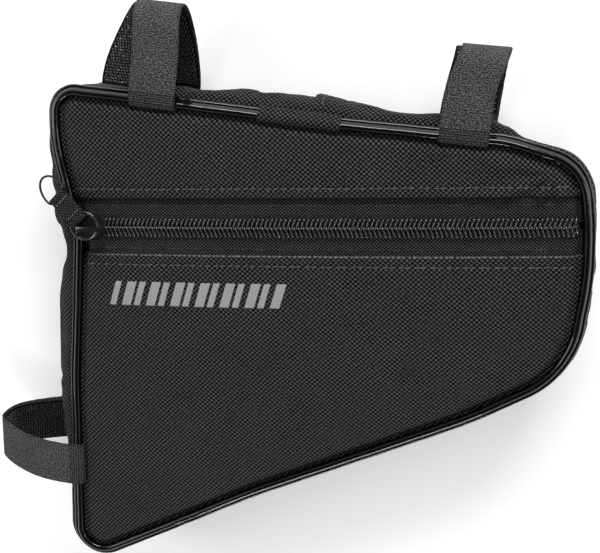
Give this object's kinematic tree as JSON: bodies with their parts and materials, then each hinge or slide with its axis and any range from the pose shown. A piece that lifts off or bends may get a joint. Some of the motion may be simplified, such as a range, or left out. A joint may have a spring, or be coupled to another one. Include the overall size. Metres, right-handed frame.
{
  "type": "bicycle frame bag",
  "caption": "Soft triangular frame bag with a domed front, coil zip, glossy piping, a full side band and hook and loop straps, lying on its back panel.",
  "frame": {"origin": "on the floor under the middle of the whole bag, straps included", "axes": "+X along the zip to its closed-off end, away from the pull; +Y towards the top edge with two straps; +Z out of the front panel"},
  "size_m": [0.3444, 0.3212, 0.0642],
  "materials": {
    "coated_cloth": "coated plain weave, slight sheen on each yarn",
    "side_cloth": "matt plain weave",
    "piping": "glossy soft vinyl",
    "zip_tape": "matt woven tape",
    "zip_coil": "glossy nylon coil",
    "slider_metal": "black enamel, semi-gloss",
    "tab_webbing": "matt webbing",
    "cord": "thin black cord",
    "loop_tape": "matt woven loop tape, dark grey",
    "hook_tape": "black hook tape with small bright hooks"
  },
  "bodies": {
    "root": {"front_panel_lower": "coated_cloth", "front_panel_upper": "coated_cloth", "back_panel": "coated_cloth", "gusset": "side_cloth", "front_piping": "piping", "back_piping": "piping", "piping_wrap": "side_cloth", "zip_tape_upper": "zip_tape", "zip_tape_lower": "zip_tape", "zip_coil_upper": "zip_coil", "zip_coil_lower": "zip_coil", "zip_slider": "slider_metal", "zip_pull_ring": "slider_metal", "pull_tab": "tab_webbing", "pull_cord": "cord", "top_strap_left_loop": "loop_tape", "top_strap_left_hook": "hook_tape", "top_strap_right_loop": "loop_tape", "top_strap_right_hook": "hook_tape", "side_strap_loop": "loop_tape", "side_strap_hook": "hook_tape"}
  },
  "joints": []
}
